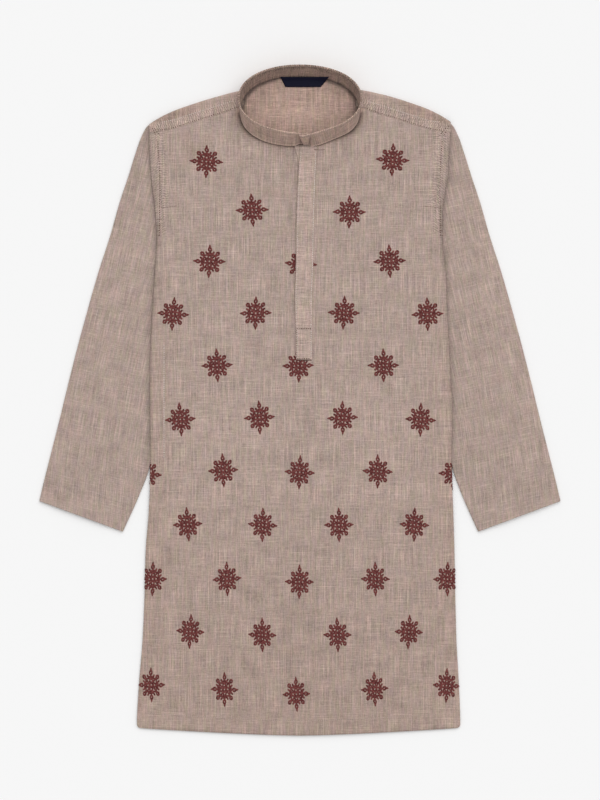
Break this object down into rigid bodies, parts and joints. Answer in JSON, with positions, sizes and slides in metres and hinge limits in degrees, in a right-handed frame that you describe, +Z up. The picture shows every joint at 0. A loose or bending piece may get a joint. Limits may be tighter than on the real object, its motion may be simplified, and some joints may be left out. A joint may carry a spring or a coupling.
{
  "type": "kurta tunic",
  "caption": "Child's knee-length kurta tunic laid flat, with a standing band collar, half placket, long straight sleeves and small embroidered motifs scattered over the front.",
  "frame": {"origin": "under the middle of the whole outline, on the surface the tunic lies on", "axes": "+X across the chest towards the wearer's left sleeve, +Y from the hem up to the collar, +Z up out of the surface it lies on"},
  "size_m": [0.636, 0.8194, 0.0275],
  "materials": {
    "chambray": "matte taupe chambray with a slubbed plain weave",
    "collar_chambray": "matte darker taupe chambray, stiffened",
    "maroon_thread": "maroon embroidery thread with a soft sheen",
    "sewing_thread": "taupe sewing thread",
    "woven_label": "plain navy woven satin"
  },
  "bodies": {
    "root": {"back_panel": "chambray", "front_panel": "chambray", "shoulder_right": "chambray", "shoulder_left": "chambray", "sleeve_right": "chambray", "sleeve_left": "chambray", "placket_over": "chambray", "placket_under": "chambray", "collar_outer": "collar_chambray", "collar_inner": "collar_chambray", "neck_label": "woven_label"}
  },
  "joints": []
}
